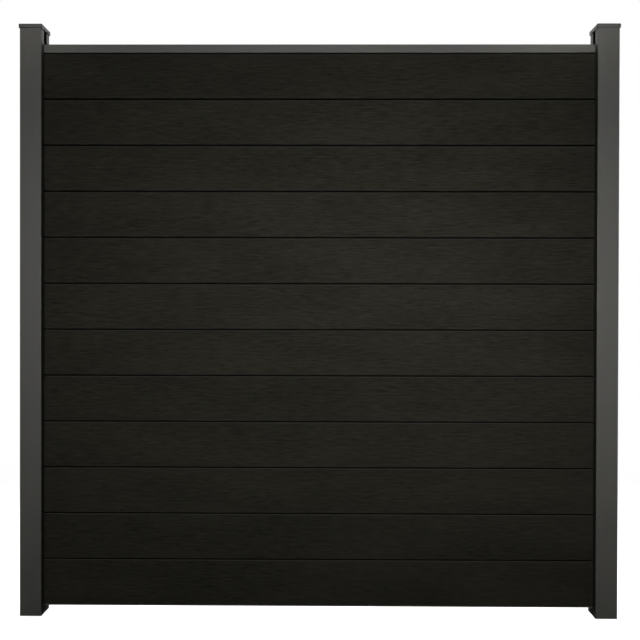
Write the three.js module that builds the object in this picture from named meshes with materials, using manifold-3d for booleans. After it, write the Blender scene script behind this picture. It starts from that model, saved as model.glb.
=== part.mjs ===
// A garden privacy screen: tongue-and-groove hollow-chamber boards stacked in the slots of two
// aluminium posts, with a starting rail under them, a finishing rail on them and push-fit caps.
// Millimetres, +Z up, front towards -Y, origin on the ground midway between the posts.
import * as THREE from "three";
import { mergeVertices } from "three/addons/utils/BufferGeometryUtils.js";
import Module from "manifold-3d";

const wasm = await Module();
wasm.setup();

// Posts
const clearWidth = 1791; // between the inner faces of the two posts
const postWidth = 70; // along X
const postDepth = 70; // along Y
const postAboveRail = 44.2; // from the finishing rail to the post's top
const postCornerRadius = 2;
const postWall = 2; // outer walls, slot walls and webs
const postInnerRadius = 1; // inside corners of the chambers

// Slots, one in each side of a post
const slotDepth = 20;
const slotMouthRadius = 0.8;
const slotFloorRadius = 1;
const snapGrooveSetback = 5; // from the post's face to the groove in the slot wall
const snapGrooveWidth = 2.4;
const snapGrooveDepth = 0.9;

// Screw ports in the corners of a post's middle chamber
const portBore = 4.2;
const portWall = 1.6;
const portBackWall = 1; // least wall between a port's bore and the chamber wall
const portMouth = 1.6;

// Boards
const boardCount = 12;
const boardCover = 150; // height that one board adds to the stack
const boardThickness = 20;
const boardEndPlay = 5.5; // room to expand at each end, inside the slot
const boardSlotClearance = 1; // each side, between a board's faces and the slot walls
const boardWall = 4;
const boardWeb = 4;
const boardChamberCount = 5;
const boardChamberRadius = 2;
const boardTopChamfer = 3;
const boardBottomChamfer = 1;

// The joint between one board and the next
const grooveWidth = 8;
const grooveDepth = 9;
const grooveRadius = 0.8;
const tongueHeight = 8; // above the seat
const tongueChamfer = 0.8;
const tongueClearance = 0.3; // each side, in the groove
const seatWidth = 12; // shoulder that carries the next board
const shadowGap = 3.5; // height of the dark line that shows between two boards
const seatClearance = 0.3; // between pieces that rest on each other

// Starting rail, under the lowest board
const groundGap = 26.5; // from the ground to the rail
const startRailBase = 3.5;
const startRailFin = 1.5;
const startRailRadius = 0.8;

// Finishing rail, on the top board
const finishRailHeight = 27;
const finishRailWall = 1.8;
const finishRailRadius = 1.6;
const finishRailInnerRadius = 0.6;

// Spacer block in each inner slot, under the starting rail
const spacerWall = 2.5;
const spacerRadius = 0.8;
const spacerClearance = 0.3;

// Strip that covers each outer slot
const coverFace = 1.6;
const coverLeg = 1.4;
const coverLegLength = 9;
const coverRadius = 0.5;
const coverClearance = 0.3;
const coverBeadClearance = 0.25; // between a leg's bead and the snap groove

// Post caps, a flange on the post's end with two plugs under it
const capHeight = 12.5; // of the flange
const capOverhang = 3.2; // of the flange, over each side of the post
const capTopWall = 4; // over the pockets that are cored from below
const capCornerRadius = 4;
const capBevel = 2.2;
const capLowerBevel = 0.8;
const capPlugLength = 18;
const capPlugWall = 1.8;
const capPlugClearance = 0.3;
const capPlugLeadIn = 0.6; // bevel round a plug's lower end
const capPlugFusion = 1; // how far a plug runs up into the flange
const capPocketRadius = 0.6;

// Screws that hold the finishing rail, one through the back of each post
const screwShank = 4.2;
const screwLength = 32; // under the head
const screwTip = 5;
const screwHead = 8;
const screwHeadHeight = 2.6;
const screwHeadRim = 1.2;
const screwRecess = 1.6; // depth of the six-lobed recess
const screwRecessOuter = 1.9; // radius over its lobes
const screwRecessInner = 1.35; // radius between its lobes
const screwRecessLobes = 6;
const screwHoleClearance = 0.3;
const screwSetback = 8; // from the post's inner face
const screwHeight = 18; // above the finishing rail's underside

// Facets in one arc
const filletSteps = 2;
const cornerSteps = 4;
const boreSteps = 9;
const portOuterSteps = 3;
const roundSteps = 16;
const mergeDistance = 1e-3;

// What follows from the sizes above
const postCentre = clearWidth / 2 + postWidth / 2;
const slotWidth = boardThickness + 2 * boardSlotClearance;
const boardLength = clearWidth + 2 * (slotDepth - boardEndPlay);
const stackBottom = groundGap + startRailBase + seatClearance;
const stackTop = stackBottom + boardCount * boardCover;
const postLength = stackTop + finishRailHeight + postAboveRail;
const tongueWidth = grooveWidth - 2 * tongueClearance;
const capOuterWidth = postWidth + 2 * capOverhang;
const capOuterDepth = postDepth + 2 * capOverhang;

const coatedAluminium = new THREE.MeshStandardMaterial({
  color: 0x464541,
  roughness: 0.55,
  metalness: 0.2,
});
const darkComposite = new THREE.MeshStandardMaterial({
  color: 0x25251f,
  roughness: 0.8,
  metalness: 0,
});
const greyPlastic = new THREE.MeshStandardMaterial({
  color: 0x42413d,
  roughness: 0.5,
  metalness: 0,
});
const blackPlastic = new THREE.MeshStandardMaterial({
  color: 0x1b1b1b,
  roughness: 0.7,
  metalness: 0,
});
const stainlessSteel = new THREE.MeshStandardMaterial({
  color: 0x8f8f8c,
  roughness: 0.35,
  metalness: 1,
});

// ---- Outlines ----

// One corner of an outline, rounded by an arc of the given radius.
function corner(x, y, radius = 0) {
  return { x, y, radius };
}

// The points of one corner, on an arc tangent to both of its edges.
function cornerPoints(before, here, after, steps) {
  const apex = new THREE.Vector2(here.x, here.y);
  if (here.radius === 0) return [apex];
  const toBefore = new THREE.Vector2(before.x, before.y).sub(apex).normalize();
  const toAfter = new THREE.Vector2(after.x, after.y).sub(apex).normalize();
  const halfAngle = toBefore.angleTo(toAfter) / 2;
  const bisector = toBefore.clone().add(toAfter).normalize();
  const centre = apex.clone().addScaledVector(bisector, here.radius / Math.sin(halfAngle));
  const start = apex.clone().addScaledVector(toBefore, here.radius / Math.tan(halfAngle));
  const leftTurn = toAfter.cross(toBefore) > 0;
  const turn = (leftTurn ? 1 : -1) * (Math.PI - 2 * halfAngle);
  const points = [];
  for (let step = 0; step <= steps; step += 1) {
    points.push(start.clone().rotateAround(centre, (turn * step) / steps));
  }
  return points;
}

// A closed outline with its corners rounded.
function outline(corners, steps = filletSteps) {
  return corners.flatMap((here, index) => {
    const before = corners.at(index - 1);
    const after = corners[(index + 1) % corners.length];
    return cornerPoints(before, here, after, steps);
  });
}

// A rectangle between two x and two y values, counter-clockwise.
function rectangle(left, right, bottom, top, radius = 0) {
  return [
    corner(left, bottom, radius),
    corner(right, bottom, radius),
    corner(right, top, radius),
    corner(left, top, radius),
  ];
}

// A rectangle centred on the origin.
function centredRectangle(width, depth, radius = 0) {
  return rectangle(-width / 2, width / 2, -depth / 2, depth / 2, radius);
}

// The same corners mirrored across x = 0, in the order that keeps the outline's direction.
function mirrored(corners) {
  return corners.map((c) => corner(-c.x, c.y, c.radius)).reverse();
}

// Points on an arc, from one angle to another in radians.
function arc(radius, from, to, steps) {
  const points = [];
  for (let step = 0; step <= steps; step += 1) {
    const angle = from + ((to - from) * step) / steps;
    points.push(new THREE.Vector2(radius * Math.cos(angle), radius * Math.sin(angle)));
  }
  return points;
}

// ---- Solids ----

// A profile in the XY plane, extruded up from z = 0.
function extrudeUp(outer, holes, height) {
  const shape = new THREE.Shape(outer);
  shape.holes = holes.map((hole) => new THREE.Path(hole));
  return new THREE.ExtrudeGeometry(shape, { depth: height, bevelEnabled: false });
}

// A profile whose x and y are the part's Y and Z, extruded along X about the middle.
function extrudeAcross(outer, holes, length) {
  const geometry = extrudeUp(outer, holes, length);
  geometry.translate(0, 0, -length / 2);
  const alongY = new THREE.Vector3(0, 1, 0);
  const alongZ = new THREE.Vector3(0, 0, 1);
  const alongX = new THREE.Vector3(1, 0, 0);
  geometry.applyMatrix4(new THREE.Matrix4().makeBasis(alongY, alongZ, alongX));
  return geometry;
}

// A solid through rings of equal counts, from the lowest to the highest.
function loft(rings) {
  const count = rings[0].points.length;
  const positions = rings.flatMap((ring) => ring.points.flatMap((p) => [p.x, p.y, ring.z]));
  const indices = [];
  for (let level = 0; level < rings.length - 1; level += 1) {
    for (let side = 0; side < count; side += 1) {
      const a = level * count + side;
      const b = level * count + ((side + 1) % count);
      indices.push(a, b, b + count, a, b + count, a + count);
    }
  }
  const topStart = (rings.length - 1) * count;
  THREE.ShapeUtils.triangulateShape(rings[0].points, []).forEach(([a, b, c]) => {
    indices.push(a, c, b);
  });
  THREE.ShapeUtils.triangulateShape(rings.at(-1).points, []).forEach(([a, b, c]) => {
    indices.push(topStart + a, topStart + b, topStart + c);
  });
  const geometry = new THREE.BufferGeometry();
  geometry.setAttribute("position", new THREE.Float32BufferAttribute(positions, 3));
  geometry.setIndex(indices);
  return geometry;
}

// A geometry as a closed solid that can be joined and cut.
function solidOf(geometry) {
  const bare = new THREE.BufferGeometry();
  bare.setAttribute("position", geometry.getAttribute("position"));
  bare.setIndex(geometry.index);
  const merged = mergeVertices(bare, mergeDistance);
  const vertProperties = merged.getAttribute("position").array;
  const triVerts = new Uint32Array(merged.index.array);
  return new wasm.Manifold(new wasm.Mesh({ numProp: 3, vertProperties, triVerts }));
}

// A solid as a geometry with flat faces.
function geometryOf(solid) {
  const mesh = solid.getMesh();
  const shared = new THREE.BufferGeometry();
  shared.setAttribute("position", new THREE.BufferAttribute(mesh.vertProperties, 3));
  shared.setIndex(new THREE.BufferAttribute(mesh.triVerts, 1));
  const geometry = shared.toNonIndexed();
  geometry.computeVertexNormals();
  return geometry;
}

// One named piece.
function piece(name, geometry, material) {
  const mesh = new THREE.Mesh(geometry, material);
  mesh.name = name;
  return mesh;
}

// ---- Posts ----

// One slot of a post, on its +X side, followed upwards along Y.
function slotCorners() {
  const face = postWidth / 2;
  const floor = face - slotDepth;
  const wall = slotWidth / 2;
  const grooveOuter = face - snapGrooveSetback;
  const grooveInner = grooveOuter - snapGrooveWidth;
  const grooveFloor = wall + snapGrooveDepth;
  const lowerHalf = [
    corner(face, -wall, slotMouthRadius),
    corner(grooveOuter, -wall),
    corner(grooveOuter, -grooveFloor),
    corner(grooveInner, -grooveFloor),
    corner(grooveInner, -wall),
    corner(floor, -wall, slotFloorRadius),
  ];
  const upperHalf = lowerHalf.map((c) => corner(c.x, -c.y, c.radius)).reverse();
  return [...lowerHalf, ...upperHalf];
}

// A post's outer outline, with a slot in each side.
function postOutline() {
  const right = postWidth / 2;
  const back = postDepth / 2;
  const rightSide = [
    corner(right, -back, postCornerRadius),
    ...slotCorners(),
    corner(right, back, postCornerRadius),
  ];
  const leftSide = rightSide.map((c) => corner(-c.x, -c.y, c.radius));
  return outline([...rightSide, ...leftSide]);
}

// A screw port, as the way its outline runs from the wall at +x to the wall at +y of a corner.
// The port's middle is the origin, and its mouth opens away from the corner.
function portPoints(inset) {
  const bore = portBore / 2;
  const outer = bore + portWall;
  const meetsWall = Math.acos(inset / outer);
  const mouthOuter = Math.asin(portMouth / 2 / outer);
  const mouthBore = Math.asin(portMouth / 2 / bore);
  const mouthAngle = (3 * Math.PI) / 4;
  const afterMouth = 2 * Math.PI - mouthAngle;
  return [
    ...arc(outer, -meetsWall, -mouthAngle + mouthOuter, portOuterSteps),
    ...arc(bore, -mouthAngle + mouthBore, afterMouth - mouthBore, boreSteps),
    ...arc(outer, afterMouth - mouthOuter, Math.PI / 2 + meetsWall, portOuterSteps),
  ];
}

// The middle chamber between the two slots, with a screw port in each corner.
function middleChamber() {
  const halfWidth = postWidth / 2 - slotDepth - postWall;
  const halfDepth = slotWidth / 2;
  const inset = portBore / 2 + portBackWall;
  const port = portPoints(inset);
  const place = (signX, signY) => {
    const placed = port.map(
      (p) => new THREE.Vector2(signX * (halfWidth - inset + p.x), signY * (halfDepth - inset + p.y)),
    );
    return signX * signY > 0 ? placed : placed.reverse();
  };
  return [...place(1, 1), ...place(-1, 1), ...place(-1, -1), ...place(1, -1)];
}

// The chamber along a post's front, or along its back.
function sideChamber(side) {
  const halfWidth = postWidth / 2 - postWall;
  const far = postDepth / 2 - postWall;
  const near = slotWidth / 2 + postWall;
  const low = side > 0 ? near : -far;
  const high = side > 0 ? far : -near;
  return outline(rectangle(-halfWidth, halfWidth, low, high, postInnerRadius));
}

// Where the rail's screw passes through a post whose inner face is on the given side.
function screwPlace(innerSide) {
  return { x: innerSide * (postWidth / 2 - screwSetback), z: stackTop + screwHeight };
}

// The hole that a screw passes through, from inside the slot to behind the post.
function screwHole(innerSide) {
  const radius = screwShank / 2 + screwHoleClearance;
  const from = slotWidth / 2 - postWall;
  const to = postDepth / 2 + postWall;
  const place = screwPlace(innerSide);
  const geometry = new THREE.CylinderGeometry(radius, radius, to - from, roundSteps);
  geometry.translate(place.x, (from + to) / 2, place.z);
  return solidOf(geometry);
}

function post(innerSide) {
  const chambers = [middleChamber(), sideChamber(1), sideChamber(-1)];
  const extrusion = solidOf(extrudeUp(postOutline(), chambers, postLength));
  return geometryOf(extrusion.subtract(screwHole(innerSide)));
}

// The strip that snaps into an outer slot, its face flush with the post's +X face.
function slotCover() {
  const face = postWidth / 2;
  const half = slotWidth / 2 - coverClearance;
  const behindFace = face - coverFace;
  const legEnd = face - coverLegLength;
  const beadTop = slotWidth / 2 + snapGrooveDepth - coverBeadClearance;
  const beadOuter = face - snapGrooveSetback - coverBeadClearance;
  const beadInner = beadOuter - snapGrooveWidth + 2 * coverBeadClearance;
  const upperHalf = [
    corner(face, half, coverRadius),
    corner(beadOuter, half),
    corner((beadOuter + beadInner) / 2, beadTop),
    corner(beadInner, half),
    corner(legEnd, half),
    corner(legEnd, half - coverLeg),
    corner(behindFace, half - coverLeg, coverRadius),
  ];
  const lowerHalf = upperHalf.map((c) => corner(c.x, -c.y, c.radius)).reverse();
  return extrudeUp(outline([...upperHalf, ...lowerHalf]), [], postLength);
}

// The block that stands in an inner slot, on the post's +X side, and carries the starting rail.
function slotSpacer() {
  const floor = postWidth / 2 - slotDepth;
  const left = floor + spacerClearance;
  const right = postWidth / 2 - spacerClearance;
  const half = slotWidth / 2 - spacerClearance;
  const middle = (left + right) / 2;
  const coreTop = half - spacerWall;
  const body = outline(rectangle(left, right, -half, half, spacerRadius));
  const cores = [
    outline(rectangle(left + spacerWall, middle - spacerWall / 2, -coreTop, coreTop, spacerRadius)),
    outline(rectangle(middle + spacerWall / 2, right - spacerWall, -coreTop, coreTop, spacerRadius)),
  ];
  return extrudeUp(body, cores, groundGap - seatClearance);
}

// ---- Boards and rails, as profiles whose x is the part's Y ----

// The groove in the underside of a board or rail, followed from its back edge to its front edge.
function grooveCorners() {
  const half = grooveWidth / 2;
  return [
    corner(-half, 0),
    corner(-half, grooveDepth, grooveRadius),
    corner(half, grooveDepth, grooveRadius),
    corner(half, 0),
  ];
}

// The back half of a board's top edge: chamfer, shadow gap, seat and tongue, from low to high.
function boardTopCorners() {
  const face = boardThickness / 2;
  const shoulder = boardCover - shadowGap;
  const seat = boardCover - seatClearance;
  const tongueTop = seat + tongueHeight;
  return [
    corner(face, shoulder - boardTopChamfer),
    corner(face - boardTopChamfer, shoulder),
    corner(seatWidth / 2, shoulder),
    corner(seatWidth / 2, seat),
    corner(tongueWidth / 2, seat),
    corner(tongueWidth / 2, tongueTop - tongueChamfer),
    corner(tongueWidth / 2 - tongueChamfer, tongueTop),
  ];
}

function boardOutline() {
  const face = boardThickness / 2;
  const backHalf = [
    corner(face - boardBottomChamfer, 0),
    corner(face, boardBottomChamfer),
    ...boardTopCorners(),
  ];
  return outline([...grooveCorners(), ...backHalf, ...mirrored(backHalf)]);
}

// The hollow chambers of a board, one above the other between its groove and its shoulder.
function boardChambers() {
  const half = boardThickness / 2 - boardWall;
  const bottom = grooveDepth + boardWall;
  const top = boardCover - shadowGap - boardWall;
  const pitch = (top - bottom + boardWeb) / boardChamberCount;
  const chambers = [];
  for (let index = 0; index < boardChamberCount; index += 1) {
    const low = bottom + index * pitch;
    chambers.push(outline(rectangle(-half, half, low, low + pitch - boardWeb, boardChamberRadius)));
  }
  return chambers;
}

function board() {
  return extrudeAcross(boardOutline(), boardChambers(), boardLength);
}

// The starting rail: a flat base with two fins that stand in the lowest board's groove.
function startRail() {
  const face = boardThickness / 2;
  const finTop = startRailBase + tongueHeight;
  const backHalf = [
    corner(face, 0, startRailRadius),
    corner(face, startRailBase, startRailRadius),
    corner(tongueWidth / 2, startRailBase),
    corner(tongueWidth / 2, finTop),
    corner(tongueWidth / 2 - startRailFin, finTop),
    corner(tongueWidth / 2 - startRailFin, startRailBase),
  ];
  return extrudeAcross(outline([...backHalf, ...mirrored(backHalf)]), [], boardLength);
}

// The finishing rail's outline: a groove for the top board's tongue under a box with rounded top edges.
function finishRailOutline() {
  const face = boardThickness / 2;
  const backHalf = [
    corner(face, 0),
    corner(face, finishRailHeight, finishRailRadius),
  ];
  return outline([...grooveCorners(), ...backHalf, ...mirrored(backHalf)], cornerSteps);
}

// The hollow inside the finishing rail, which runs over the groove and down both sides of it.
function finishRailChamber() {
  const half = boardThickness / 2 - finishRailWall;
  const overGroove = grooveDepth + finishRailWall;
  const besideGroove = grooveWidth / 2 + finishRailWall;
  const backHalf = [
    corner(besideGroove, overGroove),
    corner(besideGroove, finishRailWall),
    corner(half, finishRailWall),
    corner(half, finishRailHeight - finishRailWall, finishRailInnerRadius),
  ];
  return outline([...backHalf, ...mirrored(backHalf)]);
}

function finishRail() {
  const rail = solidOf(extrudeAcross(finishRailOutline(), [finishRailChamber()], boardLength));
  const radius = screwShank / 2 + screwHoleClearance;
  const through = 2 * finishRailWall;
  return geometryOf(
    [-1, 1].reduce((drilled, side) => {
      const hole = new THREE.CylinderGeometry(radius, radius, through, roundSteps);
      hole.translate(side * (clearWidth / 2 + screwSetback), boardThickness / 2, screwHeight);
      return drilled.subtract(solidOf(hole));
    }, rail),
  );
}

// ---- Caps and screws ----

// One ring of a cap's outside, drawn in by an inset.
function capRing(inset, z) {
  const ring = centredRectangle(
    capOuterWidth - 2 * inset,
    capOuterDepth - 2 * inset,
    capCornerRadius - inset,
  );
  return { points: outline(ring, cornerSteps), z };
}

// The corners of a plug's section in a post's front or back chamber, drawn in by an inset.
function plugCorners(side, inset, radius) {
  const gap = capPlugClearance + inset;
  const halfWidth = postWidth / 2 - postWall - gap;
  const far = postDepth / 2 - postWall - gap;
  const near = slotWidth / 2 + postWall + gap;
  const low = side > 0 ? near : -far;
  const high = side > 0 ? far : -near;
  return rectangle(-halfWidth, halfWidth, low, high, radius);
}

// A plug that grips inside one of a post's side chambers, its lower end bevelled.
function capPlug(side) {
  const ring = (inset, z) => {
    return { points: outline(plugCorners(side, inset, postInnerRadius - inset)), z };
  };
  return solidOf(
    loft([
      ring(capPlugLeadIn, -capPlugLength),
      ring(0, capPlugLeadIn - capPlugLength),
      ring(0, capPlugFusion),
    ]),
  );
}

// The pockets cored into a cap from below: one up through each plug and one over the middle chamber.
function capPockets() {
  const middleWidth = postWidth - 2 * (slotDepth + postWall + capPlugClearance);
  const middleDepth = slotWidth - 2 * capPlugClearance;
  return [
    plugCorners(1, capPlugWall, capPocketRadius),
    plugCorners(-1, capPlugWall, capPocketRadius),
    centredRectangle(middleWidth, middleDepth, capPocketRadius),
  ].map((corners) => {
    const height = capHeight - capTopWall + 2 * capPlugLength;
    const pocket = extrudeUp(outline(corners), [], height);
    pocket.translate(0, 0, -2 * capPlugLength);
    return solidOf(pocket);
  });
}

// A cap, with z = 0 at the underside of its flange.
function cap() {
  const flange = solidOf(
    loft([
      capRing(capLowerBevel, 0),
      capRing(0, capLowerBevel),
      capRing(0, capHeight - capBevel),
      capRing(capBevel, capHeight),
    ]),
  );
  const plugged = flange.add(capPlug(1)).add(capPlug(-1));
  return geometryOf(capPockets().reduce((cored, pocket) => cored.subtract(pocket), plugged));
}

// The recess that a driver turns, at the top of a screw's head.
function driveRecess() {
  const points = [];
  for (let index = 0; index < 2 * screwRecessLobes; index += 1) {
    const angle = (Math.PI * index) / screwRecessLobes;
    const radius = index % 2 === 0 ? screwRecessOuter : screwRecessInner;
    points.push(new THREE.Vector2(radius * Math.cos(angle), radius * Math.sin(angle)));
  }
  const recess = extrudeUp(points, [], 2 * screwRecess);
  recess.rotateX(-Math.PI / 2);
  recess.translate(0, screwHeadHeight - screwRecess, 0);
  return solidOf(recess);
}

// A pan-head screw along Y, its head's underside at y = 0 and its tip towards -Y.
function screw() {
  const profile = [
    new THREE.Vector2(0, -screwLength),
    new THREE.Vector2(screwShank / 2, screwTip - screwLength),
    new THREE.Vector2(screwShank / 2, 0),
    new THREE.Vector2(screwHead / 2, 0),
    new THREE.Vector2(screwHead / 2, screwHeadRim),
    new THREE.Vector2(screwHead / 3, screwHeadHeight),
    new THREE.Vector2(0, screwHeadHeight),
  ];
  const turned = solidOf(new THREE.LatheGeometry(profile, roundSteps));
  return geometryOf(turned.subtract(driveRecess()));
}

// ---- Assembly ----

// Everything that belongs to one post. innerSide is the side that faces the boards, +1 or -1.
function postAssembly(label, innerSide) {
  const group = new THREE.Group();
  group.position.x = -innerSide * postCentre;
  group.add(piece(label + "_post", post(innerSide), coatedAluminium));

  const capMesh = piece(label + "_post_cap", cap(), greyPlastic);
  capMesh.position.z = postLength + seatClearance;
  group.add(capMesh);

  const turned = innerSide > 0 ? 0 : Math.PI;
  const spacerMesh = piece(label + "_slot_spacer", slotSpacer(), blackPlastic);
  spacerMesh.rotation.z = turned;
  group.add(spacerMesh);

  const coverMesh = piece(label + "_slot_cover", slotCover(), coatedAluminium);
  coverMesh.rotation.z = Math.PI - turned;
  group.add(coverMesh);

  const screwMesh = piece(label + "_rail_screw", screw(), stainlessSteel);
  const place = screwPlace(innerSide);
  screwMesh.position.set(place.x, postDepth / 2 + seatClearance, place.z);
  group.add(screwMesh);
  return group;
}

// The boards and the two rails, which stand in the slots between the posts.
function panel() {
  const group = new THREE.Group();
  const startRailMesh = piece("bottom_rail", startRail(), coatedAluminium);
  startRailMesh.position.z = groundGap;
  group.add(startRailMesh);
  for (let index = 0; index < boardCount; index += 1) {
    const number = String(index + 1).padStart(2, "0");
    const boardMesh = piece("board_" + number, board(), darkComposite);
    boardMesh.position.z = stackBottom + index * boardCover;
    group.add(boardMesh);
  }
  const finishRailMesh = piece("top_rail", finishRail(), coatedAluminium);
  finishRailMesh.position.z = stackTop;
  group.add(finishRailMesh);
  return group;
}

const screen = new THREE.Group();
screen.add(postAssembly("left", 1));
screen.add(postAssembly("right", -1));
screen.add(panel());

export default screen;
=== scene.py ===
"""A garden privacy screen: twelve composite boards stacked between two slotted aluminium posts.

Metres, +Z up, the front towards -Y, the origin on the ground midway between the posts.
"""
from __future__ import annotations

import logging
import math
from dataclasses import dataclass
from enum import Enum
from typing import Callable, Iterable, Sequence

import bmesh
import bpy
from mathutils import Matrix, Vector


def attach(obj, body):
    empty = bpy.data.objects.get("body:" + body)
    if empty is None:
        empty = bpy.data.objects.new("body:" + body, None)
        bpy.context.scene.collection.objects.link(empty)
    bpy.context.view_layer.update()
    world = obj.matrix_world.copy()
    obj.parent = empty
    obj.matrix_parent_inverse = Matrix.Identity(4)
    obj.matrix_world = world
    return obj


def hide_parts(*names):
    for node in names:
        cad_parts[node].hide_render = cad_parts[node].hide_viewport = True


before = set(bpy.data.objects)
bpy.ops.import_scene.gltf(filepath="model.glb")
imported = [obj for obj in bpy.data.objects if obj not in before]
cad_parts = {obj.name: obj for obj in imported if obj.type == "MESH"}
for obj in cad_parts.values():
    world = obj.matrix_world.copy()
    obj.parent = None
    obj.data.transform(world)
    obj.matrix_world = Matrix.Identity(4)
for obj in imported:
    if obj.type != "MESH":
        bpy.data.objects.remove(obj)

LOG = logging.getLogger("privacy_screen")
MM = 0.001
SAME = 1e-5
DOUBLE = 1e-6
SQUARE_ON = 0.9
BARE_SKIN = 0.5 * MM

Colour = tuple[float, float, float]
Point = tuple[float, float]
Place = tuple[float, float, float]
Material = bpy.types.Material
Node = bpy.types.Node
Socket = bpy.types.NodeSocket
Obj = bpy.types.Object
Test = Callable[[Vector, Vector], bool]


class Side(Enum):
    """Which of the two posts a piece belongs to, as the sign of its X."""

    LEFT = -1
    RIGHT = 1

    @property
    def label(self) -> str:
        """The side's name in lower case."""
        return self.name.lower()


class Body(Enum):
    """The bodies that move on their own."""

    SCREEN = "screen"
    LEFT_CAP = "left_cap"
    RIGHT_CAP = "right_cap"


class Slot(Enum):
    """The record's material slots."""

    COATED = "coated_aluminium"
    BOARD = "composite_board"
    CAP = "cap_plastic"
    SPACER = "spacer_plastic"
    SCREW = "screw_steel"


class Run(Enum):
    """The direction in which a section is extruded."""

    UP = "up"
    ALONG = "along"

    def place(self, u: float, v: float, w: float) -> Vector:
        """A point of the section in the frame.

        Args:
            u: The section's first coordinate.
            v: The section's second coordinate.
            w: The distance along the run.

        Returns:
            (u, v, w) for a run up, and (w, u, v) for a run along X.
        """
        return Vector((u, v, w)) if self is Run.UP else Vector((w, u, v))

    def flat(self, point: Vector) -> Point:
        """A point of the frame in the section's coordinates."""
        return (point.x, point.y) if self is Run.UP else (point.y, point.z)


# ---------------------------------------------------------------- sections


@dataclass(frozen=True)
class Rect:
    """A rectangle of a section, from (left, low) to (right, high)."""

    left: float
    right: float
    low: float
    high: float

    @property
    def corners(self) -> tuple[Point, ...]:
        """Its four corners."""
        return tuple((u, v) for u in (self.left, self.right) for v in (self.low, self.high))

    @property
    def middle(self) -> Point:
        """Its middle."""
        return (self.left + self.right) / 2, (self.low + self.high) / 2

    def holds(self, u: float, v: float) -> bool:
        """True if the point lies inside it."""
        return self.left < u < self.right and self.low < v < self.high

    def flipped_u(self) -> Rect:
        """The same rectangle on the other side of u = 0."""
        return Rect(-self.right, -self.left, self.low, self.high)

    def flipped_v(self) -> Rect:
        """The same rectangle on the other side of v = 0."""
        return Rect(self.left, self.right, -self.high, -self.low)

    def shrunk(self, by: float) -> Rect:
        """The rectangle drawn in on every side."""
        return Rect(self.left + by, self.right - by, self.low + by, self.high - by)


@dataclass(frozen=True)
class Rounding:
    """One size of rounding or chamfer, at some corners of a section."""

    size: float
    segments: int
    corners: tuple[Point, ...]


@dataclass(frozen=True)
class Section:
    """A section: a rectangle with smaller ones cut out of it, and its corners rounded."""

    outer: Rect
    cutouts: tuple[Rect, ...]
    roundings: tuple[Rounding, ...]

    def rules(self, across: bool) -> list[float]:
        """Where the sheet is ruled, so that every cutout is made of whole cells.

        Args:
            across: True for the values of u, False for those of v.

        Returns:
            The values strictly inside the outer rectangle, in order.
        """
        ends = (self.outer.left, self.outer.right) if across else (self.outer.low, self.outer.high)
        values = set()
        for cut in self.cutouts:
            values |= {cut.left, cut.right} if across else {cut.low, cut.high}
        return sorted(x for x in values if ends[0] + DOUBLE < x < ends[1] - DOUBLE)

    def is_open(self, u: float, v: float) -> bool:
        """True if the point lies in a cutout."""
        return any(cut.holds(u, v) for cut in self.cutouts)

    def flipped_u(self) -> Section:
        """The same section on the other side of u = 0."""
        return Section(
            self.outer.flipped_u(),
            tuple(cut.flipped_u() for cut in self.cutouts),
            tuple(Rounding(r.size, r.segments, tuple((-u, v) for u, v in r.corners)) for r in self.roundings),
        )


def on_both_sides(*points: Point) -> tuple[Point, ...]:
    """Points of a section, each with its mirror image on the other side of u = 0."""
    return tuple((s * u, v) for u, v in points for s in (-1, 1))


# ---------------------------------------------------------------- workbench


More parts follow.
